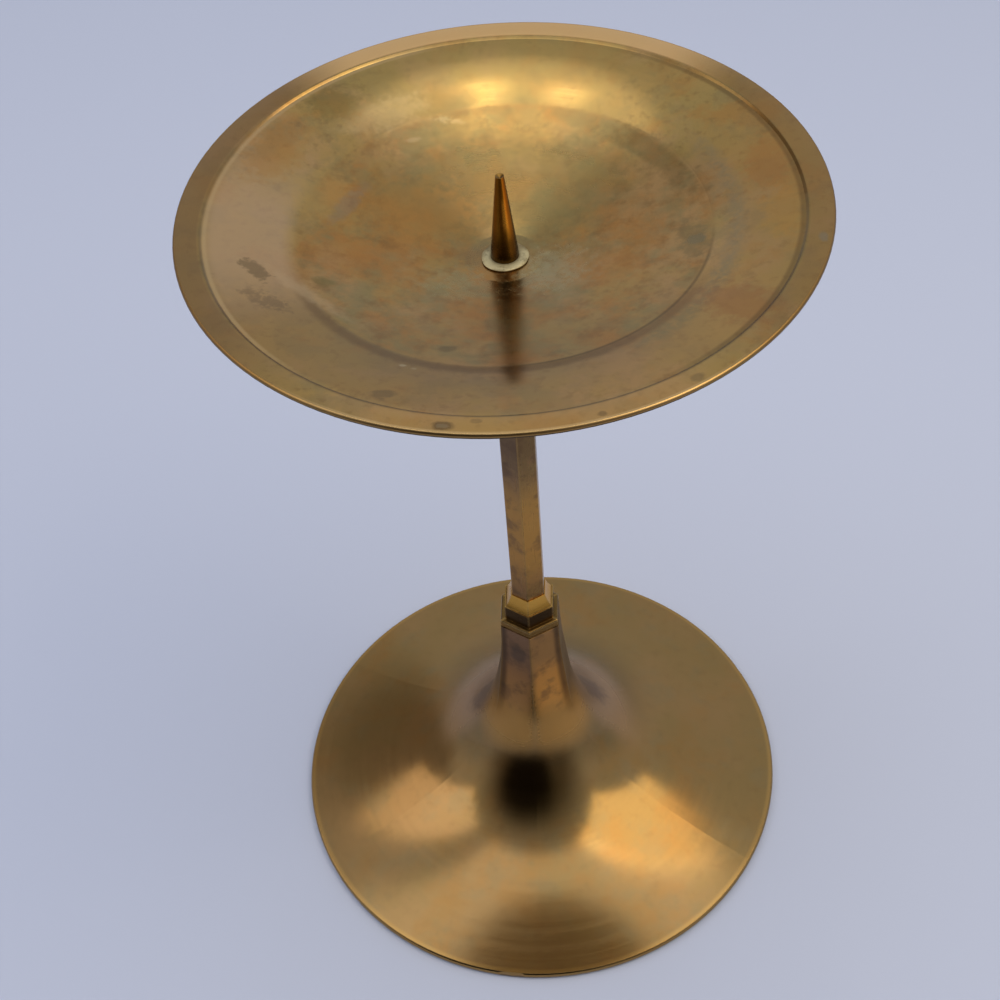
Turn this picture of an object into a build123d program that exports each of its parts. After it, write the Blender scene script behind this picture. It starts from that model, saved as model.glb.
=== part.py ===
"""Pricket candle stand: a brass pan with a spike, on a hexagonal stem and a flared, hollow foot.

Millimetres, +Z up, origin on the stand's axis at the surface that the foot rests on.
One corner of every hexagon faces -Y, the front.
"""

import math
import os

from build123d import *

# Hexagons: six flats, turned so that a corner faces the front
flat_count = 6
corner_turn = 30
half_flat_angle = math.pi / flat_count

# Fits and cuts
overrun = 1.0
screw_clearance = 0.15
socket_clearance = 0.05

# Foot casting: hexagonal neck that flares into a round trumpet
foot_radius = 67.0
foot_edge_height = 2.0
foot_edge_bulge = 0.5
foot_land = 2.2
base_height = 70.3
neck_margin = 0.1
neck_web = 14.5
neck_lean_share = 0.013
rim_rise_share = 0.14
neck_handle_share = 0.64
rim_handle_share = 0.81
facet_crown_share = 0.02
facet_end_share = 0.14
round_start_share = 0.35
section_count = 17

# Foot collar: lip, plinth, a narrow ledge and a steep cove up to the stem
lip_ledge = 1.2
lip_height = 2.6
lip_round = 0.5
plinth_ledge = 2.1
plinth_height = 4.6
cove_ledge = 0.35
cove_height = 3.6
cove_sag = 0.15
cove_margin = 0.25
collar_edge_round = 0.4
foot_socket_depth = 5.3

# Stem: hexagonal bar, tapped at both ends
stem_width = 8.0
stem_length = 108.0
stem_edge_round = 0.5
stem_bevel = 0.3
tap_runout = 3.0

# Pan collar: the same moulding turned over, under the pan
pan_plinth_height = 2.5
pan_socket_depth = 4.0

# Pan: spun sheet with a shallow, nearly conical dish, a crowned wall, a crease and a narrow, crowned lip
pan_radius = 63.5
pan_sheet = 1.2
pan_seat_radius = 7.4
dish_rise = 8.6
dish_sag = 0.44
wall_width = 17.2
wall_rise = 4.95
wall_crown = 0.36
crease_width = 0.5
crease_rise = 0.4
pan_lip_width = 5.5
lip_rise = 0.57
lip_crown = 0.2
rim_bulge = 0.35

# Pricket: blunt cone on a screwed shank, over a soft washer
pricket_foot_diameter = 5.8
pricket_tip_diameter = 1.7
pricket_length = 19.05
pricket_tip_dimple = 0.4
shank_diameter = 4.0
shank_reach = 12.0
washer_height = 0.75
washer_land = 1.2

# Tie stud with its washer and nut, inside the neck
stud_diameter = 5.0
stud_reach = 12.0
stud_tail = 2.5
screw_bevel = 0.5
nut_washer_margin = 0.4
nut_washer_height = 1.0
nut_washer_clearance = 0.1
nut_wall = 1.5
nut_height = 4.0
nut_bevel_share = 0.12

# Widths that follow from the stem and from the tie stud
cove_width = stem_width + 2 * cove_margin
plinth_width = stem_width + 2 * plinth_ledge
lip_width = plinth_width + 2 * lip_ledge
neck_width = lip_width + 2 * neck_margin
nut_width = stud_diameter + 2 * nut_wall
nut_corner_radius = nut_width / 2 / math.cos(half_flat_angle)
nut_washer_radius = nut_corner_radius + nut_washer_margin
stud_hole_radius = stud_diameter / 2 + screw_clearance
shank_hole_radius = shank_diameter / 2 + screw_clearance

# Radii that follow from the pan's rim
wall_radius = pan_radius - pan_lip_width
dish_radius = wall_radius - wall_width

# Heights that follow from the sizes above
collar_height = lip_height + plinth_height + cove_height
stem_foot_z = base_height + collar_height - foot_socket_depth
stem_head_z = stem_foot_z + stem_length
pan_collar_height = pan_plinth_height + cove_height
pan_collar_z = stem_head_z - pan_socket_depth
pan_under_z = pan_collar_z + pan_collar_height
pan_floor_z = pan_under_z + pan_sheet
pricket_z = pan_floor_z + washer_height
neck_web_z = base_height - neck_web
nut_washer_z = neck_web_z - nut_washer_height
nut_z = nut_washer_z - nut_height


def hexagon(width):
    RegularPolygon(width / 2, flat_count, major_radius=False, rotation=corner_turn)


def rounded_hexagon(width, edge_round):
    polygon = RegularPolygon(width / 2, flat_count, major_radius=False, rotation=corner_turn)
    fillet(polygon.vertices(), edge_round)


def flat_planes():
    """One upright plane through the axis for each flat, with its x axis out through the flat."""
    for flat in range(flat_count):
        turn = 2 * half_flat_angle * flat
        out, along = (math.cos(turn), math.sin(turn), 0), (math.sin(turn), -math.cos(turn), 0)
        yield Plane(origin=(0, 0, 0), x_dir=out, z_dir=along)


def cove_outline(plinth_z, rise):
    """What a cove takes off one flat, from the plinth's ledge to the stem; a negative rise turns it over."""
    edge = (plinth_width / 2 - cove_ledge, plinth_z)
    head = (cove_width / 2, plinth_z + rise)
    outside = plinth_width / 2 + overrun
    past = head[1] + math.copysign(overrun, rise)
    SagittaArc(edge, head, math.copysign(cove_sag, rise))
    Polyline(head, (head[0], past), (outside, past), (outside, plinth_z), edge)


def trumpet_controls(top_radius, top_z, rim_radius, rim_z):
    """Control points of the trumpet's outline, from the neck down and out to the rim."""
    drop = top_z - rim_z
    reach = rim_radius - top_radius
    neck_handle = neck_handle_share * drop
    rim_handle = rim_handle_share * reach
    return (
        (top_radius, top_z),
        (top_radius + neck_lean_share * neck_handle, top_z - neck_handle),
        (rim_radius - rim_handle, rim_z + rim_rise_share * rim_handle),
        (rim_radius, rim_z),
    )


def bezier_point(controls, share):
    """Radius and height at a share of the way along a cubic outline."""
    rest = 1 - share
    weights = (rest**3, 3 * rest**2 * share, 3 * rest * share**2, share**3)
    radius = sum(w * c[0] for w, c in zip(weights, controls))
    height = sum(w * c[1] for w, c in zip(weights, controls))
    return radius, height


def roundness(share):
    """0 where the outline is a hexagon, 1 where it is a circle, smooth between."""
    t = (share - facet_end_share) / (round_start_share - facet_end_share)
    t = min(max(t, facet_crown_share), 1)
    return t * t * (3 - 2 * t)


def foot_section(half_width, round_share):
    """Six arcs whose corners sink from a hexagon's to a circle's."""
    corner_excess = 1 / math.cos(half_flat_angle) - 1
    corner_radius = half_width * (1 + corner_excess * (1 - round_share))
    for flat in range(flat_count):
        start = math.radians(corner_turn) + 2 * half_flat_angle * flat
        middle = start + half_flat_angle
        end = middle + half_flat_angle
        ThreePointArc(
            (corner_radius * math.cos(start), corner_radius * math.sin(start)),
            (half_width * math.cos(middle), half_width * math.sin(middle)),
            (corner_radius * math.cos(end), corner_radius * math.sin(end)),
        )


os.makedirs("parts", exist_ok=True)

# Foot: lofted from hexagon to circle, with a rolled edge, a hollow and a screw hole
edge_radius = foot_radius - foot_edge_bulge
outline = trumpet_controls(neck_width / 2, base_height, edge_radius, foot_edge_height)
hollow_head_radius = nut_washer_radius + nut_washer_clearance
hollow = trumpet_controls(hollow_head_radius, neck_web_z, foot_radius - foot_land, 0)

with BuildPart() as base:
    for station in range(section_count):
        share = station / (section_count - 1)
        radius, height = bezier_point(outline, share)
        with BuildSketch(Plane.XY.offset(height)):
            with BuildLine():
                foot_section(radius, roundness(share))
            make_face()
    loft()
    with BuildSketch(Plane.XZ):
        with BuildLine():
            Polyline((edge_radius, 0), (0, 0), (0, foot_edge_height), (edge_radius, foot_edge_height))
            ThreePointArc(
                (edge_radius, foot_edge_height),
                (foot_radius, foot_edge_height / 2),
                (edge_radius, 0),
            )
        make_face()
    revolve(axis=Axis.Z)
    with BuildSketch(Plane.XZ):
        with BuildLine():
            Bezier(*hollow)
            Polyline(hollow[3], (0, 0), (0, neck_web_z), hollow[0])
        make_face()
    revolve(axis=Axis.Z, mode=Mode.SUBTRACT)
    with BuildSketch(Plane.XY.offset(base_height)):
        Circle(stud_hole_radius)
    extrude(amount=-neck_web - overrun, mode=Mode.SUBTRACT)
base.part.label = "base"
export_step(base.part, "parts/base.step")

# Foot collar: lip with rounded edges, plinth, cove, and a socket for the stem
with BuildPart() as foot_collar:
    with BuildSketch(Plane.XY.offset(base_height)):
        rounded_hexagon(lip_width, collar_edge_round)
    extrude(amount=lip_height)
    fillet(foot_collar.edges().filter_by(Plane.XY), lip_round)
    with BuildSketch(Plane.XY.offset(base_height)):
        rounded_hexagon(plinth_width, collar_edge_round)
    extrude(amount=collar_height)
    with BuildSketch(*flat_planes()):
        with BuildLine():
            cove_outline(base_height + lip_height + plinth_height, cove_height)
        make_face()
    extrude(amount=plinth_width, both=True, mode=Mode.SUBTRACT)
    with BuildSketch(Plane.XY.offset(stem_foot_z)):
        hexagon(stem_width + 2 * socket_clearance)
    extrude(amount=foot_socket_depth + overrun, mode=Mode.SUBTRACT)
    with BuildSketch(Plane.XY.offset(stem_foot_z)):
        Circle(stud_hole_radius)
    extrude(amount=-collar_height - overrun, mode=Mode.SUBTRACT)
foot_collar.part.label = "foot_collar"
export_step(foot_collar.part, "parts/foot_collar.step")

# Stem: hexagonal bar with a screw hole in each end
with BuildPart() as stem:
    with BuildSketch(Plane.XY.offset(stem_foot_z)):
        rounded_hexagon(stem_width, stem_edge_round)
    extrude(amount=stem_length)
    chamfer(stem.edges().filter_by(Plane.XY), stem_bevel)
    with BuildSketch(Plane.XY.offset(stem_foot_z)):
        Circle(stud_hole_radius)
    extrude(amount=stud_reach + tap_runout, mode=Mode.SUBTRACT)
    with BuildSketch(Plane.XY.offset(stem_head_z)):
        Circle(shank_hole_radius)
    extrude(amount=-shank_reach - tap_runout, mode=Mode.SUBTRACT)
stem.part.label = "stem"
export_step(stem.part, "parts/stem.step")

# Pan collar: cove and plinth turned over, with a socket for the stem and the shank's hole
with BuildPart() as pan_collar:
    with BuildSketch(Plane.XY.offset(pan_collar_z)):
        rounded_hexagon(plinth_width, collar_edge_round)
    extrude(amount=pan_collar_height)
    with BuildSketch(*flat_planes()):
        with BuildLine():
            cove_outline(pan_collar_z + cove_height, -cove_height)
        make_face()
    extrude(amount=plinth_width, both=True, mode=Mode.SUBTRACT)
    with BuildSketch(Plane.XY.offset(stem_head_z)):
        hexagon(stem_width + 2 * socket_clearance)
    extrude(amount=-pan_socket_depth - overrun, mode=Mode.SUBTRACT)
    with BuildSketch(Plane.XY.offset(stem_head_z)):
        Circle(shank_hole_radius)
    extrude(amount=pan_collar_height + overrun, mode=Mode.SUBTRACT)
pan_collar.part.label = "pan_collar"
export_step(pan_collar.part, "parts/pan_collar.step")


def pan_outline(height):
    """Half outline of one face of the pan, from its seat out to the edge of its lip."""
    seat = (pan_seat_radius, height)
    dish = (dish_radius, height + dish_rise)
    wall = (wall_radius, dish[1] + wall_rise)
    crease = (wall_radius + crease_width, wall[1] + crease_rise)
    edge = (pan_radius - rim_bulge, crease[1] + lip_rise)
    Line((0, height), seat)
    SagittaArc(seat, dish, -dish_sag)
    SagittaArc(dish, wall, wall_crown)
    Line(wall, crease)
    SagittaArc(crease, edge, lip_crown)
    return edge


# Pan: the same outline for both faces of the sheet, a sheet's thickness apart
with BuildPart() as pan:
    with BuildSketch(Plane.XZ):
        with BuildLine():
            upper_edge = pan_outline(pan_floor_z)
            lower_edge = pan_outline(pan_under_z)
            ThreePointArc(lower_edge, (pan_radius, upper_edge[1] - pan_sheet / 2), upper_edge)
            Line((0, pan_under_z), (0, pan_floor_z))
        make_face()
    revolve(axis=Axis.Z)
    with BuildSketch(Plane.XY.offset(pan_under_z)):
        Circle(shank_hole_radius)
    extrude(amount=pan_sheet + overrun, mode=Mode.SUBTRACT)
pan.part.label = "pan"
export_step(pan.part, "parts/pan.step")

# Pricket washer: flat under the spike's foot, rounded off to its edge
crown_radius = pricket_foot_diameter / 2 + washer_land
washer_radius = crown_radius + washer_height
with BuildPart() as pricket_washer:
    with BuildSketch(Plane.XZ):
        with BuildLine():
            Polyline(
                (washer_radius, pan_floor_z),
                (shank_hole_radius, pan_floor_z),
                (shank_hole_radius, pricket_z),
                (crown_radius, pricket_z),
            )
            RadiusArc((crown_radius, pricket_z), (washer_radius, pan_floor_z), washer_height)
        make_face()
    revolve(axis=Axis.Z)
pricket_washer.part.label = "pricket_washer"
export_step(pricket_washer.part, "parts/pricket_washer.step")

# Pricket: spike with a dimpled tip, and the shank that screws into the stem
with BuildPart() as pricket:
    with BuildSketch(Plane.XZ):
        with BuildLine():
            shank_radius = shank_diameter / 2
            shank_end_z = stem_head_z - shank_reach
            tip_z = pricket_z + pricket_length
            Polyline(
                (0, tip_z - pricket_tip_dimple),
                (pricket_tip_diameter / 2, tip_z),
                (pricket_foot_diameter / 2, pricket_z),
                (shank_radius, pricket_z),
                (shank_radius, shank_end_z + screw_bevel),
                (shank_radius - screw_bevel, shank_end_z),
                (0, shank_end_z),
                close=True,
            )
        make_face()
    revolve(axis=Axis.Z)
pricket.part.label = "pricket"
export_step(pricket.part, "parts/pricket.step")

# Tie stud: from the stem's foot down through collar and neck to below the nut
with BuildPart() as tie_stud:
    stud_foot_z = nut_z - stud_tail
    with BuildSketch(Plane.XY.offset(stud_foot_z)):
        Circle(stud_diameter / 2)
    extrude(amount=stem_foot_z + stud_reach - stud_foot_z)
    chamfer(tie_stud.edges().filter_by(GeomType.CIRCLE), screw_bevel)
tie_stud.part.label = "tie_stud"
export_step(tie_stud.part, "parts/tie_stud.step")

# Nut washer, under the neck's web
with BuildPart() as nut_washer:
    with BuildSketch(Plane.XY.offset(nut_washer_z)):
        Circle(nut_washer_radius)
        Circle(stud_hole_radius, mode=Mode.SUBTRACT)
    extrude(amount=nut_washer_height)
nut_washer.part.label = "nut_washer"
export_step(nut_washer.part, "parts/nut_washer.step")

# Tie nut: hexagonal, with corners turned off below
with BuildPart() as tie_nut:
    with BuildSketch(Plane.XY.offset(nut_z)):
        hexagon(nut_width)
        Circle(stud_hole_radius, mode=Mode.SUBTRACT)
    extrude(amount=nut_height)
    nut_bevel = nut_bevel_share * nut_width
    with BuildSketch(Plane.XZ):
        with BuildLine():
            Polyline(
                (0, nut_z),
                (nut_corner_radius - nut_bevel, nut_z),
                (nut_corner_radius, nut_z + nut_bevel / 2),
                (nut_corner_radius, nut_z + nut_height),
                (0, nut_z + nut_height),
                close=True,
            )
        make_face()
    revolve(axis=Axis.Z, mode=Mode.INTERSECT)
tie_nut.part.label = "tie_nut"
export_step(tie_nut.part, "parts/tie_nut.step")

print("pan floor", round(pan_floor_z, 2), "lip edge", round(upper_edge[1], 2))
print("overall height", round(tip_z, 2))
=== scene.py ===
import math

import bpy
from mathutils import Matrix, Vector


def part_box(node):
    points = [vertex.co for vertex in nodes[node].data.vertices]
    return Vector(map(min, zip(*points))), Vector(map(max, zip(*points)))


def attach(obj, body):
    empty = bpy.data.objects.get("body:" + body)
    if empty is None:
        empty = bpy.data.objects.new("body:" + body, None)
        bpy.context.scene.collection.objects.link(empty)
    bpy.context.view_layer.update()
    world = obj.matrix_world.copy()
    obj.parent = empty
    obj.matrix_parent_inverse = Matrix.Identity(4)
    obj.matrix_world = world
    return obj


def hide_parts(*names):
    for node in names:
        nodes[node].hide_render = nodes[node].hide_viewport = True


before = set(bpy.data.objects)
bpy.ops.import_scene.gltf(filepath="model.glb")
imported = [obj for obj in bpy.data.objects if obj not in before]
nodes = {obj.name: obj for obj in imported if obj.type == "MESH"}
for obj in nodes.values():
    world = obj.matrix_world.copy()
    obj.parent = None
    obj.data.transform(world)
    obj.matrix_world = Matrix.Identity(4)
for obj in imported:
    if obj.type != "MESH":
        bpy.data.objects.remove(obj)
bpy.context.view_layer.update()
mm = 0.001
print("stand loaded with", len(nodes), "pieces")


# colours are written as sRGB hex and turned to linear here
def hexColor(code):
    channels = [int(code[i:i + 2], 16) / 255 for i in (1, 3, 5)]
    linear = [c / 12.92 if c <= 0.04045 else ((c + 0.055) / 1.055) ** 2.4 for c in channels]
    return (*linear, 1.0)


# one node with its settings; an input that is given a socket is linked, any other value is set
def addNode(tree, kind, inputs=None, **settings):
    node = tree.nodes.new("ShaderNode" + kind)
    for key, value in settings.items():
        setattr(node, key, value)
    for key, value in (inputs or {}).items():
        if isinstance(value, bpy.types.NodeSocket):
            tree.links.new(value, node.inputs[key])
        else:
            node.inputs[key].default_value = value
    return node


# the ragged edges and specks below shape the painted highlights and painted shade as well as the stains
raggedEdge = 2.0  # size of the bays in the edge of a stain, in millimetres
speckSize = 1.3  # size of the specks that break a stain up
cornerStep = 30.0  # degrees from a corner of the hexagon to the middle of its face


# a bare material and what its layers are placed by, in millimetres and degrees: the point, its height and
# radius, the angle from the front and its size to either side, the angle from a hexagon corner, how far it
# faces up, and the noise of ragged edges and specks
def startFinish(name):
    material = bpy.data.materials.new(name)
    material.use_nodes = True
    tree = material.node_tree
    tree.nodes.clear()
    coords = addNode(tree, "TexCoord").outputs
    inputs = {0: coords["Object"], "Scale": 1 / mm}
    point = addNode(tree, "VectorMath", inputs, operation="SCALE").outputs[0]
    apart = addNode(tree, "SeparateXYZ", {0: point}).outputs
    flat = addNode(tree, "VectorMath", {0: point, 1: (1, 1, 0)}, operation="MULTIPLY").outputs[0]
    radius = addNode(tree, "VectorMath", {0: flat}, operation="LENGTH").outputs["Value"]
    toFront = addNode(tree, "Math", {0: apart[1], 1: -1.0}, operation="MULTIPLY").outputs[0]
    turned = addNode(tree, "Math", {0: apart[0], 1: toFront}, operation="ARCTAN2").outputs[0]
    angle = addNode(tree, "Math", {0: turned}, operation="DEGREES").outputs[0]
    corner = addNode(tree, "Math", {0: angle, 1: cornerStep}, operation="PINGPONG").outputs[0]
    facing = addNode(tree, "SeparateXYZ", {0: coords["Normal"]}).outputs[2]
    side = addNode(tree, "Math", {0: angle}, operation="ABSOLUTE").outputs[0]
    places = {
        "point": point, "height": apart[2], "radius": radius, "angle": angle, "side": side,
        "corner": corner, "facing": facing,
    }
    inputs = {"Vector": point, "Scale": 1 / raggedEdge, "Detail": 6.0, "Roughness": 0.65}
    ragged = addNode(tree, "TexNoise", inputs).outputs[0]
    places["ragged"] = addNode(tree, "Math", {0: ragged, 1: 0.5}, operation="SUBTRACT").outputs[0]
    inputs = {"Vector": point, "Scale": 1 / speckSize, "Detail": 4.0, "Roughness": 0.6}
    places["speck"] = addNode(tree, "TexNoise", inputs).outputs[0]
    return material, tree, places


# lays one colour and its roughness over what is there, as far as the mask goes; crusts and some painted light
# are also less metallic
def layOver(tree, coat, mask, layer):
    color = hexColor(layer["color"])
    inputs = {0: mask, 6: coat["color"], 7: color}
    coat["color"] = addNode(tree, "Mix", inputs, data_type="RGBA").outputs[2]
    coat["rough"] = addNode(tree, "Mix", {0: mask, 2: coat["rough"], 3: layer["rough"]}).outputs[0]
    if "metal" in layer:
        coat["metal"] = addNode(tree, "Mix", {0: mask, 2: coat["metal"], 3: layer["metal"]}).outputs[0]


# the default raggedness below serves the placed painted highlight and painted shade as well as the stains
markRagged = 1.6  # how ragged a stain is and how soft its edge, as shares of its reach, unless it says so
stainSoft = 0.35


# how far a layer goes: its cloud of patches, its limits of height, radius or angle (from, to, softness),
# its own place as a ragged ellipse and the specks that break it up all narrow it down from its share
def layerMask(tree, places, layer):
    fades = []  # a value, and where it fades in and is full
    if "patch" in layer:
        inputs = {0: places["point"], 1: layer["shift"]}
        moved = addNode(tree, "VectorMath", inputs, operation="ADD").outputs[0]
        inputs = {"Vector": moved, "Scale": 1 / layer["patch"], "Detail": 6.0, "Roughness": 0.62}
        fades.append((addNode(tree, "TexNoise", inputs).outputs[0], *layer["limits"]))
    for key, (low, high, soft) in layer.get("within", {}).items():
        inputs = {0: places[key], 1: (low + high) / 2}
        off = addNode(tree, "Math", inputs, operation="SUBTRACT").outputs[0]
        off = addNode(tree, "Math", {0: off}, operation="ABSOLUTE").outputs[0]
        if "ragged" in layer:
            inputs = {0: places["ragged"], 1: layer["ragged"] * soft, 2: off}
            off = addNode(tree, "Math", inputs, operation="MULTIPLY_ADD").outputs[0]
        half = (high - low) / 2
        fades.append((off, half + soft, half - soft))
    if "at" in layer:
        inputs = {
            "Vector": places["point"], "Location": layer["at"], "Scale": layer["reach"],
            "Rotation": (0, 0, math.radians(layer.get("turn", 0.0))),
        }
        local = addNode(tree, "Mapping", inputs, vector_type="TEXTURE").outputs[0]
        off = addNode(tree, "VectorMath", {0: local}, operation="LENGTH").outputs["Value"]
        inputs = {0: places["ragged"], 1: layer.get("ragged", markRagged), 2: off}
        off = addNode(tree, "Math", inputs, operation="MULTIPLY_ADD").outputs[0]
        soft = layer.get("soft", stainSoft)
        fades.append((off, 1 + soft, 1 - soft))
    if "broken" in layer:
        fades.append((places["speck"], *layer["broken"]))
    mask = layer["share"]
    for value, begin, full in fades:
        inputs = {0: value, 1: begin, 2: full, 4: mask}
        mask = addNode(tree, "MapRange", inputs, interpolation_type="SMOOTHSTEP").outputs[0]
    return mask


# fine tool marks, as rings round the axis or as lines along it, a set number of millimetres apart
def addGrain(tree, places, grain):
    if grain["run"] == "rings":
        inputs = {0: places["angle"], 1: grain["drift"]}
        drift = addNode(tree, "Math", inputs, operation="MULTIPLY").outputs[0]
        vector = addNode(tree, "CombineXYZ", {0: places["radius"], 1: drift, 2: places["height"]}).outputs[0]
    else:
        inputs = {0: places["point"], 1: (1, 1, grain["drift"])}
        vector = addNode(tree, "VectorMath", inputs, operation="MULTIPLY").outputs[0]
    inputs = {"Vector": vector, "Scale": 1 / grain["spacing"], "Detail": 3.0, "Roughness": 0.6}
    return addNode(tree, "TexNoise", inputs).outputs[0]


grainSpan = (0.3, 0.7)  # the part of the noise that the tool marks use
edgeRays = 4  # rays for each softened edge


# a worn metal: its base colour, then its layers of tarnish and of painted light and shade in order, its tool
# marks and its softened edges
def wornMetal(look):
    material, tree, places = startFinish(look["name"])
    coat = {"color": hexColor(look["color"]), "rough": look["rough"], "metal": look.get("metal", 1.0)}
    for layer in look["layers"]:
        layOver(tree, coat, layerMask(tree, places, layer), layer)
    grain = addGrain(tree, places, look["grain"])
    swing = look["grain"]["rough"]
    inputs = {0: grain, 1: grainSpan[0], 2: grainSpan[1], 3: -swing, 4: swing}
    spread = addNode(tree, "MapRange", inputs).outputs[0]
    rough = addNode(tree, "Math", {0: coat["rough"], 1: spread}, operation="ADD").outputs[0]
    edges = addNode(tree, "Bevel", {"Radius": look["edge"] * mm}, samples=edgeRays).outputs[0]
    inputs = {"Strength": 1.0, "Distance": look["grain"]["depth"] * mm, "Height": grain, "Normal": edges}
    bump = addNode(tree, "Bump", inputs).outputs[0]
    inputs = {"Metallic": coat["metal"], "Base Color": coat["color"], "Roughness": rough, "Normal": bump}
    shader = addNode(tree, "BsdfPrincipled", inputs).outputs[0]
    addNode(tree, "OutputMaterial", {"Surface": shader})
    return material


def dress(pieces, material):
    for piece in pieces:
        piece.data.materials.clear()
        piece.data.materials.append(material)
    print(material.name, "on", ", ".join(piece.name for piece in pieces))


# the reach below also serves the placed painted highlights on the pan
anyHeight = 1000.0  # reach of a stain on the pan, through its whole height

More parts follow.
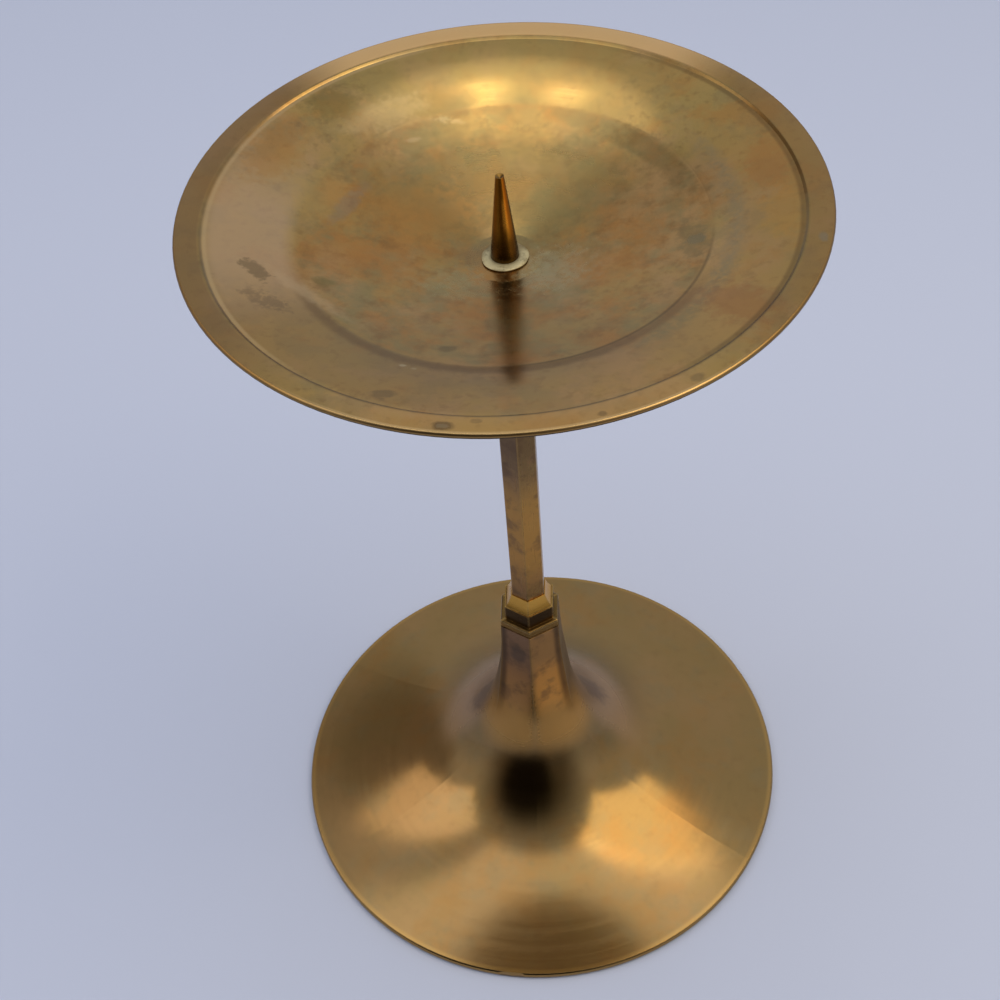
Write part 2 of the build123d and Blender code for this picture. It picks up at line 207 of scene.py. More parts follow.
# spun brass sheet: a soft satin sheen in rings, under a thin tarnish from gold through olive to orange-brown
panLook = {
    "name": "spunBrass", "color": "#AA8A53", "rough": 0.15, "edge": 0.12,
    "grain": {"run": "rings", "spacing": 0.9, "drift": 0.01, "rough": 0.02, "depth": 0.0006},
    "layers": [
        # general tarnish
        {"patch": 38, "shift": (0, 0, 0), "limits": (0.4, 0.62),
         "share": 0.5, "color": "#938350", "rough": 0.16},
        {"patch": 24, "shift": (31, 17, 5), "limits": (0.46, 0.62),
         "share": 0.55, "color": "#B08C66", "rough": 0.18},
        {"patch": 13, "shift": (7, 53, 29), "limits": (0.5, 0.64),
         "share": 0.5, "color": "#A4743C", "rough": 0.18},
        {"patch": 9, "shift": (63, 5, 41), "limits": (0.46, 0.64),
         "share": 0.45, "color": "#827452", "rough": 0.2},
        {"patch": 2.2, "shift": (12, 88, 3), "limits": (0.5, 0.7),
         "share": 0.35, "color": "#6E5434", "rough": 0.2},
        {"patch": 1.0, "shift": (9, 2, 77), "limits": (0.66, 0.78),
         "share": 0.2, "color": "#4A3A26", "rough": 0.28},
        # dish, browner and more clouded than the wall
        {"within": {"radius": (-1, 40.8, 0.7)}, "share": 0.3, "color": "#9A7242", "rough": 0.22},
        {"patch": 14, "shift": (5, 61, 13), "within": {"radius": (-1, 40.5, 1)}, "limits": (0.44, 0.62),
         "share": 0.6, "color": "#A8733A", "rough": 0.24},
        {"patch": 11, "shift": (44, 8, 70), "within": {"radius": (-1, 40.5, 1)}, "limits": (0.46, 0.64),
         "share": 0.5, "color": "#7E7854", "rough": 0.26},
        {"patch": 5, "shift": (81, 33, 6), "within": {"radius": (-1, 40.5, 1)}, "limits": (0.48, 0.68),
         "share": 0.45, "color": "#7E5C36", "rough": 0.24},
        {"within": {"radius": (8, 33, 5), "side": (120, 200, 20)},
         "share": 0.6, "color": "#6E6440", "rough": 0.3, "ragged": 1.5},
        {"within": {"radius": (33, 40.6, 3), "side": (146, 200, 14)},
         "share": 0.4, "color": "#948050", "rough": 0.22},
        # wall: clean at the back, painted shade on the near side, a painted sheen on the left, browner right
        {"within": {"radius": (40.6, 58, 1), "side": (142, 200, 18)},
         "share": 0.6, "color": "#9E8550", "rough": 0.15},
        # near side darker: painted shade
        {"within": {"radius": (41.2, 57.6, 1), "angle": (-74, 2, 20)},
         "share": 0.5, "color": "#8A6A44", "rough": 0.16},
        {"within": {"radius": (41.2, 57.6, 1), "angle": (8, 72, 18)},
         "share": 0.45, "color": "#A67C4A", "rough": 0.16},
        # pale left wall: a painted sheen
        {"within": {"radius": (42, 57.6, 2), "angle": (-108, -62, 16)},
         "share": 0.6, "color": "#BF9F7E", "rough": 0.22},
        {"within": {"radius": (44, 57.6, 2), "angle": (70, 120, 14)},
         "share": 0.4, "color": "#9A7644", "rough": 0.16},
        # dark band just outside the ring in front: a painted dark reflection
        {"within": {"radius": (41, 43.6, 0.9), "angle": (-62, 62, 10)},
         "share": 0.5, "color": "#664C30", "rough": 0.2, "ragged": 1.2},
        {"within": {"radius": (40.6, 41.2, 0.3), "angle": (5, 80, 12)},
         "share": 0.5, "color": "#4E3C26", "rough": 0.25},
        {"within": {"radius": (43.8, 46.8, 1.6), "angle": (60, 120, 10)},
         "share": 0.5, "color": "#847A62", "rough": 0.28, "ragged": 2.4, "broken": (0.16, 0.6)},
        {"within": {"radius": (43.6, 47, 1.6), "angle": (34, 66, 8)},
         "share": 0.5, "color": "#787254", "rough": 0.28, "ragged": 2.4, "broken": (0.2, 0.6)},
        # dark crescent inside the ring at the back right: a painted dark reflection
        {"within": {"radius": (35.5, 40.4, 1), "angle": (106, 144, 10)},
         "share": 0.4, "color": "#5E5030", "rough": 0.24, "ragged": 3.0},
        # orange and olive clouds
        {"at": (-19.3, 10.4, 190), "reach": (13, 9, anyHeight),
         "share": 0.35, "color": "#AC7E44", "rough": 0.22, "ragged": 2.4},
        {"at": (-31.5, -5.5, 190), "reach": (7, 6, anyHeight),
         "share": 0.4, "color": "#A87440", "rough": 0.2, "ragged": 2.4},
        {"at": (18.7, -8.2, 190), "reach": (9, 6, anyHeight),
         "share": 0.4, "color": "#A6743E", "rough": 0.2, "ragged": 2.4},
        {"at": (52, 11.5, 199), "reach": (4, 8, anyHeight),
         "share": 0.5, "color": "#A4703C", "rough": 0.18, "ragged": 2.4, "soft": 0.5},
        {"at": (54, -4, 199), "reach": (3.6, 7, anyHeight),
         "share": 0.45, "color": "#B08444", "rough": 0.18, "ragged": 2.4, "soft": 0.5},
        {"at": (43.5, -29, 199), "reach": (5, 8, anyHeight), "turn": 40,
         "share": 0.5, "color": "#94643A", "rough": 0.18, "ragged": 2.4, "soft": 0.5},
        {"at": (-36.7, 37.5, 199), "reach": (6, 4.6, anyHeight),
         "share": 0.5, "color": "#74643A", "rough": 0.2, "ragged": 2.6, "soft": 0.5},
        {"at": (-26.4, 36, 196), "reach": (9, 3.4, anyHeight), "turn": 34,
         "share": 0.4, "color": "#BCA070", "rough": 0.2, "ragged": 2.6, "soft": 0.5},
        {"at": (-47.5, 21, 199), "reach": (5, 8, anyHeight), "turn": -20,
         "share": 0.45, "color": "#A87A42", "rough": 0.2, "ragged": 2.4, "soft": 0.5},
        {"at": (-37, 11, 195), "reach": (5, 8, anyHeight), "turn": -16,
         "share": 0.4, "color": "#B8945A", "rough": 0.2, "ragged": 2.4, "soft": 0.5},
        {"at": (-31.9, 10.3, 193), "reach": (1.6, 6, anyHeight), "turn": -24,
         "share": 0.4, "color": "#7A7064", "rough": 0.26, "ragged": 2.6, "soft": 0.5},
        {"at": (36.8, -5.2, 194), "reach": (2.6, 6, anyHeight), "turn": 8,
         "share": 0.45, "color": "#6A6246", "rough": 0.26, "ragged": 2.8, "soft": 0.5},
        # painted pale highlights, a streak left of the ring and a patch at the back of the dish, and a faint
        # splash there
        {"at": (-36.2, -20.1, 194), "reach": (9, 1.4, anyHeight), "turn": -36,
         "share": 0.35, "color": "#C4A880", "rough": 0.2, "ragged": 2.0, "soft": 0.6},
        {"at": (-13.2, 36.5, 194), "reach": (3.4, 0.9, anyHeight), "turn": -4,
         "share": 0.3, "color": "#CDB384", "rough": 0.24, "soft": 0.6, "broken": (0.36, 0.56)},
        {"at": (-20, 30.5, 193), "reach": (1.6, 0.6, anyHeight), "turn": 20,
         "share": 0.22, "color": "#C8B088", "rough": 0.24},
        # verdigris round the spike
        {"at": (-8, -9.5, 188), "reach": (7, 5, anyHeight),
         "share": 0.45, "color": "#96926E", "rough": 0.4, "metal": 0.92, "ragged": 3.0, "soft": 0.8,
         "broken": (0.1, 0.66)},
        {"at": (9, -6.4, 188), "reach": (6.4, 6.6, anyHeight),
         "share": 0.55, "color": "#9E9A7C", "rough": 0.42, "metal": 0.9, "ragged": 3.0, "soft": 0.8,
         "broken": (0.1, 0.66)},
        {"at": (-5.6, 0.6, 188), "reach": (3.6, 4, anyHeight),
         "share": 0.45, "color": "#746C54", "rough": 0.36, "ragged": 2.6, "soft": 0.7},
        # dark blotches and spots
        {"at": (-46.5, -15.6, 197), "reach": (3.4, 1.8, anyHeight), "turn": -40,
         "share": 0.5, "color": "#54462F", "rough": 0.3, "ragged": 3.2, "soft": 0.3},
        {"at": (-43.1, -24.7, 196), "reach": (4.8, 2.3, anyHeight), "turn": -34,
         "share": 0.42, "color": "#645340", "rough": 0.3, "ragged": 3.0, "soft": 0.35,
         "broken": (0.36, 0.54)},
        {"at": (-34, -15.2, 194), "reach": (2, 1.6, anyHeight),
         "share": 0.5, "color": "#6E6238", "rough": 0.28},
        {"at": (-9.4, -34.1, 194), "reach": (1.8, 1.1, anyHeight),
         "share": 0.4, "color": "#5C4630", "rough": 0.28, "ragged": 2.0},
        {"at": (-18.8, -51.7, 199), "reach": (2, 1.4, anyHeight),
         "share": 0.4, "color": "#5A4C3A", "rough": 0.28, "ragged": 2.4},
        {"at": (37.4, -5.2, 195), "reach": (2, 1.4, anyHeight),
         "share": 0.5, "color": "#77705A", "rough": 0.32},
        {"at": (-16.5, -41.4, 196), "reach": (0.6, 0.4, anyHeight),
         "share": 0.35, "color": "#D0C4A4", "rough": 0.4},
        {"at": (-14.4, -42.4, 196), "reach": (0.5, 0.4, anyHeight),
         "share": 0.2, "color": "#D0C4A4", "rough": 0.4},
        # crease: a dark line, with a painted highlight along the shoulder on the left and darker on the right
        {"within": {"radius": (58.1, 58.8, 0.3)}, "share": 0.45, "color": "#5E4A30", "rough": 0.26},
        # pale shoulder on the left: a painted highlight
        {"within": {"radius": (57.2, 58, 0.3), "angle": (-160, -42, 14)},
         "share": 0.45, "color": "#C4A67A", "rough": 0.16},
        {"within": {"radius": (57, 58.2, 0.4), "angle": (35, 150, 16)},
         "share": 0.5, "color": "#5A4228", "rough": 0.2},
        # lip: brown left, golden near side, brown right, and a painted highlight at the back
        {"within": {"radius": (58.8, 65, 0.3), "angle": (-148, -40, 18)},
         "share": 0.75, "color": "#7E6242", "rough": 0.2},
        {"within": {"radius": (58.8, 65, 0.3), "angle": (-20, 40, 14)},
         "share": 0.45, "color": "#BE9258", "rough": 0.18},
        {"within": {"radius": (58.8, 65, 0.3), "angle": (50, 142, 16)},
         "share": 0.6, "color": "#8A6840", "rough": 0.18},
        # bright at the back: a painted highlight
        {"within": {"radius": (58.8, 65, 0.3), "side": (138, 200, 10)},
         "share": 0.8, "color": "#E2B880", "rough": 0.12},
        {"at": (-7.8, -61.1, 201), "reach": (1.8, 1.1, anyHeight), "turn": -8,
         "share": 0.65, "color": "#4A3C2E", "rough": 0.32, "ragged": 1.0},
        {"at": (-7.8, -61.1, 201), "reach": (1.1, 0.55, anyHeight), "turn": -8,
         "share": 0.6, "color": "#8A785C", "rough": 0.32},
        {"at": (-2.2, -59.9, 201), "reach": (0.9, 0.6, anyHeight),
         "share": 0.3, "color": "#5E4E3A", "rough": 0.32},
        {"at": (35, -50.6, 201), "reach": (1.3, 0.9, anyHeight), "turn": 36,
         "share": 0.45, "color": "#6A5A44", "rough": 0.32},
        {"at": (18.8, -58.9, 201), "reach": (0.8, 0.6, anyHeight),
         "share": 0.5, "color": "#5E4E3A", "rough": 0.32},
        {"at": (60, -14, 201), "reach": (0.9, 1.4, anyHeight),
         "share": 0.5, "color": "#7C7668", "rough": 0.34},
        # underside, tarnished more evenly, and the rim, with painted shade below and a painted highlight
        # along its edge in front
        {"within": {"facing": (-1.1, -0.3, 0.25)}, "share": 1.0, "color": "#C8B284", "rough": 0.36},
        {"patch": 14, "shift": (3, 71, 19), "within": {"facing": (-1.1, -0.3, 0.25)},
         "limits": (0.5, 0.66), "share": 0.5, "color": "#8C6C3E", "rough": 0.3},
        {"within": {"radius": (63, 65, 0.12), "facing": (0.1, 1.1, 0.15)},
         "share": 0.7, "color": "#8C6A3A", "rough": 0.4},
        # lower half of the rim: painted shade
        {"within": {"radius": (63, 65, 0.12), "facing": (-1.1, -0.05, 0.12)},
         "share": 0.92, "color": "#261B10", "rough": 0.45},
        # edge of the rim in front: a painted highlight
        {"within": {"radius": (62.7, 63.4, 0.2), "facing": (0.4, 1.1, 0.2), "angle": (-30, 40, 12)},
         "share": 0.5, "color": "#DCBC86", "rough": 0.2},
    ],
}
spunBrass = wornMetal(panLook)
dress([nodes["pan"]], spunBrass)

# cast brass foot, turned and polished: mirror-like but clouded, with a browner neck, partly a crust and
# partly painted shade
baseLook = {
    "name": "castBrass", "color": "#91744C", "rough": 0.17, "edge": 0.2,
    "grain": {"run": "rings", "spacing": 1.2, "drift": 0.01, "rough": 0.02, "depth": 0.0004},
    "layers": [
        {"patch": 45, "shift": (0, 0, 0), "limits": (0.4, 0.62),
         "share": 0.5, "color": "#846F44", "rough": 0.17},
        {"patch": 22, "shift": (31, 17, 5), "limits": (0.48, 0.68),
         "share": 0.5, "color": "#946C3B", "rough": 0.18},
        {"patch": 11, "shift": (7, 53, 29), "limits": (0.5, 0.68),
         "share": 0.4, "color": "#827252", "rough": 0.2},
        {"patch": 3, "shift": (12, 88, 3), "limits": (0.5, 0.74),
         "share": 0.2, "color": "#745A38", "rough": 0.16},
        {"patch": 1.0, "shift": (9, 2, 77), "limits": (0.68, 0.78),
         "share": 0.15, "color": "#3E2E1E", "rough": 0.24},
        # paler behind the neck: a painted reflection
        {"within": {"radius": (8, 27, 4), "side": (82, 200, 10)},
         "share": 0.6, "color": "#AE8A64", "rough": 0.38, "metal": 0.85},
        # neck: a brown crust on its faces, with painted shade and painted golden reflections, and rubbed
        # corners
        # golden where it flares in front: a painted reflection
        {"within": {"height": (24, 54, 4), "radius": (-1, 15.2, 2.4), "side": (-1, 84, 14)},
         "share": 0.75, "color": "#B88840", "rough": 0.34, "metal": 0.5},
        # the two front faces: a brown crust, with the left painted darker than the right as painted shade
        {"within": {"height": (52, 80, 8), "angle": (-62, 0, 3)},
         "share": 0.85, "color": "#86654C", "rough": 0.4, "metal": 0.35},
        {"within": {"height": (52, 80, 8), "angle": (0, 62, 3)},
         "share": 0.85, "color": "#A67C48", "rough": 0.38, "metal": 0.35},
        # lower on the front faces: painted golden reflections, brighter on the right
        {"within": {"height": (41, 57, 4), "angle": (4, 62, 6)},
         "share": 0.65, "color": "#DE9C48", "rough": 0.36, "metal": 0.4, "ragged": 1.2},
        {"within": {"height": (41, 57, 4), "angle": (-62, -4, 6)},
         "share": 0.6, "color": "#A87848", "rough": 0.36, "metal": 0.4, "ragged": 1.2},
        {"patch": 5, "shift": (15, 3, 60), "within": {"height": (40, 80, 6), "radius": (-1, 13, 2)},
         "limits": (0.46, 0.66), "share": 0.5, "color": "#5E4632", "rough": 0.4},
        # the side faces dark: painted shade
        {"within": {"height": (40, 80, 6), "side": (50, 122, 5)},
         "share": 0.7, "color": "#3A2A1C", "rough": 0.36, "metal": 0.6},
        # a dark patch at either side of the neck's foot: painted shade
        {"at": (-14.6, 4.6, 29), "reach": (5, 4.4, 9),
         "share": 0.6, "color": "#54423A", "rough": 0.42, "metal": 0.8, "soft": 0.5},
        {"at": (15.2, 8.4, 26), "reach": (5, 4.4, 9),
         "share": 0.6, "color": "#5A4840", "rough": 0.42, "metal": 0.8, "soft": 0.5},
        {"within": {"height": (36, 80, 6), "corner": (-1, 2.2, 1.4)},
         "share": 0.3, "color": "#A2824C", "rough": 0.24},
        {"at": (-3.2, -6.6, 62), "reach": (2.2, 3, 3.4), "share": 0.5, "color": "#3C3838", "rough": 0.34},
        # rim, and the raw inside of the casting
        {"within": {"radius": (65.6, 68, 0.5)}, "share": 0.5, "color": "#B08C52", "rough": 0.2},
        {"within": {"facing": (-1.1, -0.2, 0.2)}, "share": 0.9, "color": "#6A5232", "rough": 0.45},
    ],
}
castBrass = wornMetal(baseLook)
dress([nodes["base"]], castBrass)

# the same casting brass on the collars: painted gold highlight in the coves, painted shade on the plinth and
# under the lip
collarLook = {
    "name": "collarBrass", "color": "#A08046", "rough": 0.2, "edge": 0.2,
    "grain": {"run": "rings", "spacing": 0.5, "drift": 0.02, "rough": 0.03, "depth": 0.001},
    "layers": [
        {"patch": 7, "shift": (4, 9, 2), "limits": (0.45, 0.66),
         "share": 0.5, "color": "#7C6238", "rough": 0.26},
        {"patch": 1.6, "shift": (17, 3, 8), "limits": (0.52, 0.68),
         "share": 0.35, "color": "#54402A", "rough": 0.3},
        # gold in the coves: a painted highlight
        {"within": {"height": (77.7, 81.4, 0.3)},
         "share": 0.8, "color": "#CE9A40", "rough": 0.24, "metal": 0.8},
        {"within": {"height": (70.4, 72.8, 0.3)},
         "share": 0.6, "color": "#8A7044", "rough": 0.26, "metal": 0.7},
        # dark sides of the plinth: painted shade
        {"within": {"height": (72.9, 77.4, 0.3), "facing": (-0.4, 0.4, 0.1)},
         "share": 0.9, "color": "#2E2014", "rough": 0.3},
        # dark line where the plinth meets the lip
        {"within": {"height": (72.6, 73.1, 0.25)}, "share": 0.6, "color": "#3A2B1C", "rough": 0.34},
        # dark line under the lip: a painted shadow
        {"within": {"height": (70.2, 70.7, 0.2)}, "share": 0.7, "color": "#2E2216", "rough": 0.36},
        {"within": {"corner": (-1, 2, 1.4)}, "share": 0.35, "color": "#B8965C", "rough": 0.2},
    ],
}
collarBrass = wornMetal(collarLook)
dress([nodes["foot_collar"], nodes["pan_collar"]], collarBrass)

# drawn hexagonal bar: fine lengthwise lines under a brown patina with painted shade and a painted highlight,
# brighter along the corners
stemLook = {
    "name": "drawnBrass", "color": "#9C7C4A", "rough": 0.26, "edge": 0.25,
    "grain": {"run": "lines", "spacing": 0.45, "drift": 0.03, "rough": 0.03, "depth": 0.0005},
    "layers": [
        {"patch": 20, "shift": (0, 0, 0), "limits": (0.42, 0.62),
         "share": 0.6, "color": "#92703F", "rough": 0.3, "metal": 0.75},
        {"patch": 7, "shift": (31, 17, 5), "limits": (0.48, 0.64),
         "share": 0.6, "color": "#A07444", "rough": 0.3, "metal": 0.7},
        {"patch": 4, "shift": (7, 53, 29), "limits": (0.5, 0.66),
         "share": 0.4, "color": "#8E7448", "rough": 0.34},
        {"patch": 1.5, "shift": (12, 88, 3), "limits": (0.54, 0.68),
         "share": 0.4, "color": "#4E3A2E", "rough": 0.32},
        # left front face darker: painted shade
        {"within": {"angle": (-60, 0, 2)}, "share": 0.4, "color": "#7A5840", "rough": 0.32, "metal": 0.6},
        # golden band across the middle: a painted highlight
        {"within": {"height": (90, 121, 9)},
         "share": 0.75, "color": "#BC8836", "rough": 0.3, "metal": 0.6, "ragged": 1.5},
        # darker up under the pan: a painted shadow
        {"within": {"height": (126, 190, 10)},
         "share": 0.6, "color": "#54402E", "rough": 0.3, "ragged": 2.0},
        {"patch": 6, "shift": (50, 21, 9), "limits": (0.47, 0.62),
         "share": 0.55, "color": "#5E442E", "rough": 0.3},
        {"within": {"corner": (-1, 2.4, 1.6)}, "share": 0.35, "color": "#B08E56", "rough": 0.24},
    ],
}
drawnBrass = wornMetal(stemLook)
dress([nodes["stem"]], drawnBrass)

# turned spike, filed to a blunt point: golden in front with a painted highlight streak, painted shade round
# its sides, brown at its foot, with faint rings left by the tool
spikeLook = {
    "name": "turnedBrass", "color": "#9C7A3C", "rough": 0.18, "edge": 0.15,
    "grain": {"run": "rings", "spacing": 0.5, "drift": 0.02, "rough": 0.03, "depth": 0.001},
    "layers": [
        {"patch": 6, "shift": (4, 9, 2), "limits": (0.45, 0.66),
         "share": 0.5, "color": "#8C6C38", "rough": 0.22},
        {"patch": 1.5, "shift": (17, 3, 8), "limits": (0.54, 0.68),
         "share": 0.35, "color": "#5E482C", "rough": 0.26},
        # sides and back darker: painted shade
        {"within": {"angle": (40, 200, 16)}, "share": 0.65, "color": "#54391A", "rough": 0.24},
        {"within": {"angle": (-200, -24, 16)}, "share": 0.55, "color": "#5E4420", "rough": 0.24},
        {"within": {"height": (186, 193.6, 2.2)}, "share": 0.75, "color": "#33220F", "rough": 0.28},
        # golden streak in front: a painted highlight
        {"within": {"height": (195.6, 202, 1.4), "angle": (4, 34, 8)},
         "share": 0.7, "color": "#DCA84A", "rough": 0.32, "metal": 0.7},
    ],
}
turnedBrass = wornMetal(spikeLook)
dress([nodes["pricket"]], turnedBrass)

# soft white metal, gone chalky: dull, pale and pitted
washerLook = {
    "name": "whiteMetal", "color": "#B2A986", "rough": 0.55, "edge": 0.15, "metal": 0.5,
    "grain": {"run": "lines", "spacing": 0.35, "drift": 1.0, "rough": 0.08, "depth": 0.02},
    "layers": [
        {"patch": 2.4, "shift": (4, 9, 2), "limits": (0.45, 0.65),
         "share": 0.6, "color": "#857B5E", "rough": 0.6},
        {"patch": 0.9, "shift": (17, 3, 8), "limits": (0.52, 0.7),
         "share": 0.6, "color": "#5E553E", "rough": 0.6},
        # darker round the bore and at the back: painted shade
        {"within": {"radius": (2.0, 3.2, 0.3)}, "share": 0.5, "color": "#6E6248", "rough": 0.6},
        {"within": {"side": (112, 200, 16)}, "share": 0.7, "color": "#66573A", "rough": 0.6},
    ],
}
whiteMetal = wornMetal(washerLook)

# plain steel screw parts, dulled and spotted with rust
steelLook = {
    "name": "dullSteel", "color": "#8C8A86", "rough": 0.34, "edge": 0.15,
    "grain": {"run": "lines", "spacing": 0.5, "drift": 1.0, "rough": 0.05, "depth": 0.004},
    "layers": [
        {"patch": 6, "shift": (4, 9, 2), "limits": (0.45, 0.7),
         "share": 0.6, "color": "#77695A", "rough": 0.42},
        {"patch": 1.8, "shift": (17, 3, 8), "limits": (0.54, 0.72),
         "share": 0.5, "color": "#4A382A", "rough": 0.5},
    ],
}
dullSteel = wornMetal(steelLook)
dress([nodes["nut_washer"], nodes["tie_nut"]], dullSteel)


# size and place of a node in millimetres: its lowest and highest corner
def boxInMm(nodeName):
    return [Vector(corner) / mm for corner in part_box(nodeName)]


smoothUnder = 40  # edges that turn less than this many degrees are shaded smooth
mergeGap = 0.001  # corners closer than this, in millimetres, become one


# hands a finished mesh over as a piece that stands for a node
def finishPiece(piece, nodeName, material):
    bpy.ops.object.mode_set(mode="OBJECT")
    bpy.ops.object.transform_apply(location=True, rotation=True, scale=True)
    bpy.ops.object.shade_smooth_by_angle(angle=math.radians(smoothUnder))
    dress([piece], material)
    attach(piece, "root")
    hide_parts(nodeName)


# soft washer under the spike, squeezed out unevenly; its rings are radius and share of the height, from the
# seat out and over to the bore, and its swells are number round, turn and share
softWasher = {
    "sides": 96, "bore": 2.05, "boreTop": 0.96,
    "rings": [(4.45, 0.0), (4.78, 0.2), (4.85, 0.5), (4.55, 0.85), (4.1, 1.0), (3.4, 0.96)],
    "wobble": 0.28, "swells": [(2, 0.6, 0.45), (3, 2.1, 0.35), (7, 0.0, 0.2)],
    "dents": 0.12, "dentCount": 5, "dentTurn": 1.0,
}


def addSoftWasher(look):
    low, high = boxInMm("pricket_washer")
    height = high.z - low.z
    bpy.ops.object.select_all(action="DESELECT")
    seat = (0, 0, low.z * mm)
    bpy.ops.mesh.primitive_circle_add(vertices=look["sides"], radius=look["bore"] * mm, location=seat)
    washer = bpy.context.object
    washer.name = "softWasher"
    bpy.ops.object.mode_set(mode="EDIT")
    bpy.ops.mesh.select_all(action="SELECT")
    radius, share = look["bore"], 0.0
    for nextRadius, nextShare in [*look["rings"], (look["bore"], look["boreTop"]), (look["bore"], 0.0)]:
        bpy.ops.mesh.extrude_edges_move()
        grow = nextRadius / radius
        bpy.ops.transform.resize(value=(grow, grow, 1), center_override=seat)
        bpy.ops.transform.translate(value=(0, 0, (nextShare - share) * height * mm))
        radius, share = nextRadius, nextShare
    bpy.ops.mesh.select_all(action="SELECT")
    bpy.ops.mesh.remove_doubles(threshold=mergeGap * mm)
    bpy.ops.mesh.normals_make_consistent(inside=False)
    bpy.ops.object.mode_set(mode="OBJECT")
    for vertex in washer.data.vertices:  # uneven outline and a dented top, the bore and the seat kept
        out = max(0.0, math.hypot(vertex.co.x, vertex.co.y) / mm - look["bore"]) / (high.x - look["bore"])
        angle = math.atan2(vertex.co.y, vertex.co.x)
        swell = sum(share * math.sin(count * angle + turn) for count, turn, share in look["swells"])
        pull = 1 - look["wobble"] * out * (1 - swell) / 2 / high.x
        dent = look["dents"] * out * (1 + math.sin(look["dentCount"] * angle + look["dentTurn"])) / 2
        vertex.co.x *= pull
        vertex.co.y *= pull
        if vertex.co.z > height / 2 * mm:
            vertex.co.z -= dent * mm
    finishPiece(washer, "pricket_washer", whiteMetal)


addSoftWasher(softWasher)

# tie stud with its real screw thread, an M5 with a chamfered lower end
threadLook = {"pitch": 0.8, "depth": 0.49, "crest": 0.1, "steps": 32, "overrun": 1.5, "chamfer": 0.6}


def addTieStud(look):
    low, high = boxInMm("tie_stud")
    radius, pitch = high.x, look["pitch"]
    core = radius - look["depth"]
    turns = math.ceil((high.z - low.z) / pitch) + round(2 * look["overrun"])
    bpy.ops.object.select_all(action="DESELECT")
    bpy.ops.mesh.primitive_circle_add(vertices=4, radius=core * mm)
    stud = bpy.context.object
    stud.name = "threadedStud"
    # the four corners become one tooth's outline, from root to crest to the next root
    crestLow, crestHigh = (pitch - look["crest"]) / 2, (pitch + look["crest"]) / 2
    outline = [(core, 0.0), (radius, crestLow), (radius, crestHigh), (core, pitch)]
    for vertex, (across, along) in zip(stud.data.vertices, outline):
        vertex.co = Vector((across, 0, low.z - look["overrun"] * pitch + along)) * mm
    bpy.ops.object.mode_set(mode="EDIT")
    bpy.ops.mesh.select_all(action="DESELECT")
    bpy.ops.object.mode_set(mode="OBJECT")
    for edge in stud.data.edges:  # the edge that closes the circle goes
        edge.select = set(edge.vertices) == {0, 3}
    bpy.ops.object.mode_set(mode="EDIT")
    bpy.ops.mesh.select_mode(type="EDGE")
    bpy.ops.mesh.delete(type="EDGE")
    bpy.ops.object.mode_set(mode="OBJECT")
    screw = stud.modifiers.new("thread", "SCREW")
    screw.axis = "Z"
    screw.angle = math.tau
    screw.screw_offset = pitch * mm
    screw.iterations = turns
    screw.steps = screw.render_steps = look["steps"]
    screw.use_merge_vertices = True
    screw.merge_threshold = mergeGap * mm
    bpy.ops.object.modifier_apply(modifier="thread")
    bpy.ops.object.mode_set(mode="EDIT")
    for level, inward in ((low.z, 1), (high.z, -1)):  # cut to length, both ends closed
        bpy.ops.mesh.select_all(action="SELECT")
        bpy.ops.mesh.remove_doubles(threshold=mergeGap * mm)
        bpy.ops.mesh.bisect(
            plane_co=(0, 0, level * mm), plane_no=(0, 0, inward),
            use_fill=True, clear_inner=True, clear_outer=False,
        )
    bpy.ops.mesh.select_all(action="SELECT")
    bpy.ops.mesh.normals_make_consistent(inside=False)
    bpy.ops.object.mode_set(mode="OBJECT")
    for vertex in stud.data.vertices:  # chamfer at the lower end
        reach = math.hypot(vertex.co.x, vertex.co.y)
        most = (radius - look["chamfer"]) * mm + vertex.co.z - low.z * mm
        if reach > most:
            vertex.co.x *= most / reach
            vertex.co.y *= most / reach
    finishPiece(stud, "tie_stud", dullSteel)


addTieStud(threadLook)

# camera at the photograph's place, in millimetres and degrees
cameraLook = {
    "lens": 54.26, "sensor": 36, "nearest": 10,
    "place": (-5.2, -236.72, 379.55), "pitch": 48.2, "roll": 4.94,
    "turn": 5.5,  # the view stands this far round from the stem's front corner
}


def addCamera(look):
    pitch, roll, turn = (math.radians(look[key]) for key in ("pitch", "roll", "turn"))
    right = Vector((1, 0, 0))
    forward = Vector((0, math.cos(pitch), -math.sin(pitch)))
    down = forward.cross(right)
    imageRight = math.cos(roll) * right + math.sin(roll) * down
    imageDown = math.cos(roll) * down - math.sin(roll) * right
    axes = Matrix((imageRight, -imageDown, -forward)).transposed()
    spin = Matrix.Rotation(turn, 3, "Z")
    place = spin @ Vector(look["place"]) * mm
    bpy.ops.object.camera_add()
    camera = bpy.context.object
    camera.name = "camera"
    camera.data.lens = look["lens"]
    camera.data.sensor_width = look["sensor"]
    camera.data.clip_start = look["nearest"] * mm
    camera.matrix_world = Matrix.Translation(place) @ (spin @ axes).to_4x4()
    bpy.context.scene.camera = camera


addCamera(cameraLook)

# plain pale floor, matt with a faint sheen, its size in millimetres
floorLook = {"size": 6000, "color": "#BDC7E3", "rough": 0.6, "sheen": 0.2}


def addFloor(look):
    bpy.ops.object.select_all(action="DESELECT")
    bpy.ops.mesh.primitive_plane_add(size=look["size"] * mm)
    floor = bpy.context.object
    floor.name = "floor"
    material = bpy.data.materials.new("paleTable")
    material.use_nodes = True
    tree = material.node_tree
    tree.nodes.clear()
    inputs = {
        "Base Color": hexColor(look["color"]), "Roughness": look["rough"],
        "Specular IOR Level": look["sheen"],
    }
    shader = addNode(tree, "BsdfPrincipled", inputs).outputs[0]
    addNode(tree, "OutputMaterial", {"Surface": shader})
    floor.data.materials.append(material)


addFloor(floorLook)

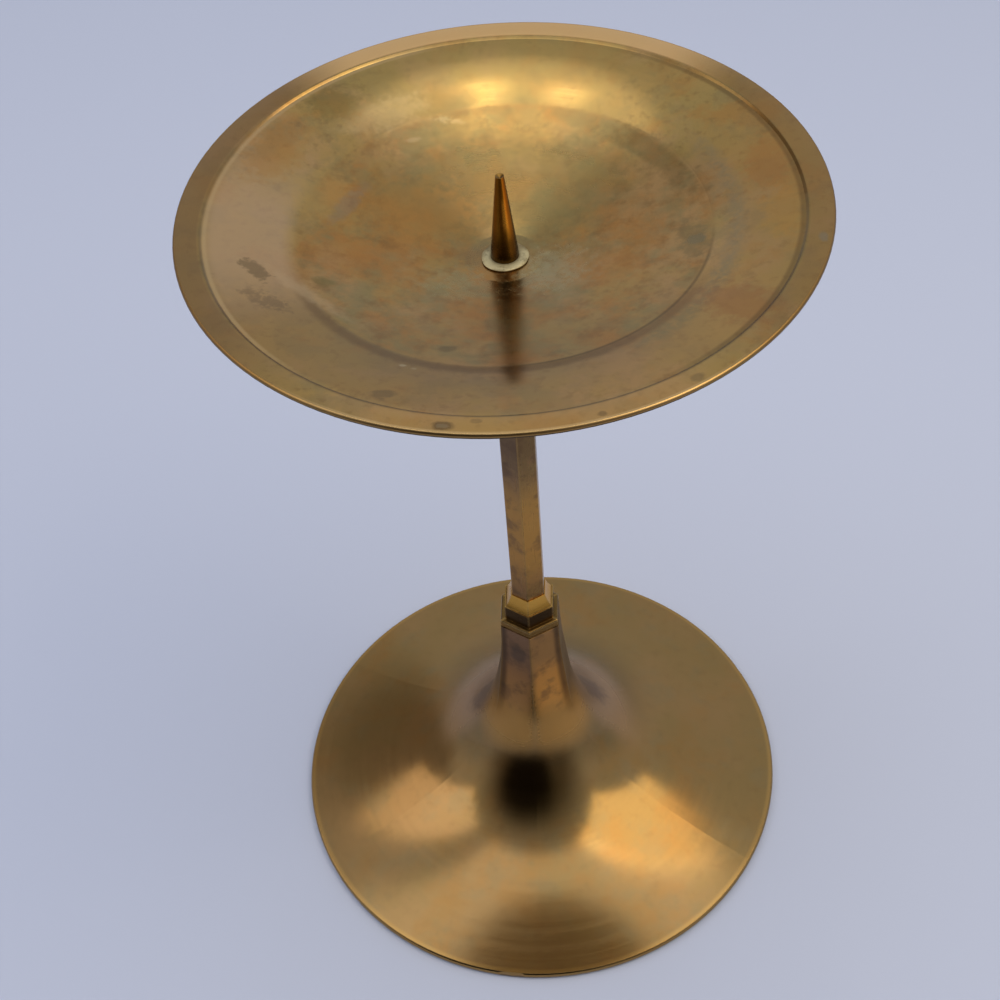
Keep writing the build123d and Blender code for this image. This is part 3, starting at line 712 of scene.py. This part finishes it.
# soft lamps: place and size in millimetres, radiance as seen in a mirror
lampLooks = {
    "overhead": {
        "place": (0, -40, 1000), "aim": (0, -40, 0), "size": (860, 690),
        "radiance": 0.95, "color": "#FFFDF8",
    },
    "farPanel": {
        "place": (-100, 405, 1000), "aim": (-100, 405, 0), "size": (460, 180),
        "radiance": 0.9, "color": "#FFF8EC",
    },
    "streakLeft": {
        "place": (-14, 325, 992), "aim": (-14, 325, 0), "size": (40, 95),
        "radiance": 5.5, "color": "#FFF2D0",
    },
    "streakRight": {
        "place": (-122, 335, 992), "aim": (-122, 335, 0), "size": (46, 95),
        "radiance": 4, "color": "#FFEFD0",
    },
    "leftGlow": {
        "place": (-706, 25, 717), "aim": (0, 0, 10), "size": (690, 420),
        "radiance": 1.4, "color": "#FFEFDC",
    },
    "rightGlow": {
        "place": (566, -90, 822), "aim": (0, 0, 10), "size": (690, 540),
        "radiance": 2.4, "color": "#FFE6B4",
    },
}


def addLamp(name, look):
    width, depth = (side * mm for side in look["size"])
    bpy.ops.object.light_add(type="AREA", location=Vector(look["place"]) * mm)
    lamp = bpy.context.object
    lamp.name = name
    lamp.data.shape = "RECTANGLE"
    lamp.data.size = width
    lamp.data.size_y = depth
    lamp.data.energy = look["radiance"] * math.pi * width * depth
    lamp.data.color = hexColor(look["color"])[:3]
    aim = Vector(look["aim"]) - Vector(look["place"])
    lamp.rotation_euler = aim.to_track_quat("-Z", "Y").to_euler()


for lampName, lampLook in lampLooks.items():
    addLamp(lampName, lampLook)

# light from all round: pale, dimmer near the horizon and to the left, and dim in front, most in the middle;
# each part's way is in degrees across from the back and up, and it fades in by the cosine of the angle to it
roomLook = {
    "pale": "#D6D8DC",
    "parts": {
        "horizon": {"color": "#B7BAC3", "across": 0, "up": 90, "edge": (0.4, 0.05)},
        "left": {"color": "#968F88", "across": -55, "up": 30, "edge": (0.87, 0.96)},
        "front": {"color": "#6A655E", "across": 186, "up": 4, "edge": (0.3, 0.8)},
        "frontMiddle": {"color": "#181410", "across": 194, "up": 22, "edge": (0.78, 0.95)},
    },
}


def addRoom(look):
    world = bpy.data.worlds.new("room")
    bpy.context.scene.world = world
    world.use_nodes = True
    tree = world.node_tree
    tree.nodes.clear()
    way = addNode(tree, "TexCoord").outputs["Generated"]
    color = hexColor(look["pale"])
    for part in look["parts"].values():
        across, up = math.radians(part["across"]), math.radians(part["up"])
        toward = (math.sin(across) * math.cos(up), math.cos(across) * math.cos(up), math.sin(up))
        inputs = {0: way, 1: toward}
        share = addNode(tree, "VectorMath", inputs, operation="DOT_PRODUCT").outputs["Value"]
        begin, full = part["edge"]
        inputs = {0: share, 1: begin, 2: full}
        mask = addNode(tree, "MapRange", inputs, interpolation_type="SMOOTHSTEP").outputs[0]
        inputs = {0: mask, 6: color, 7: hexColor(part["color"])}
        color = addNode(tree, "Mix", inputs, data_type="RGBA").outputs[2]
    shade = addNode(tree, "Background", {"Color": color, "Strength": 1.0}).outputs[0]
    addNode(tree, "OutputWorld", {"Surface": shade})


addRoom(roomLook)
bpy.context.scene.view_settings.view_transform = "Standard"
print("camera, floor and light placed")
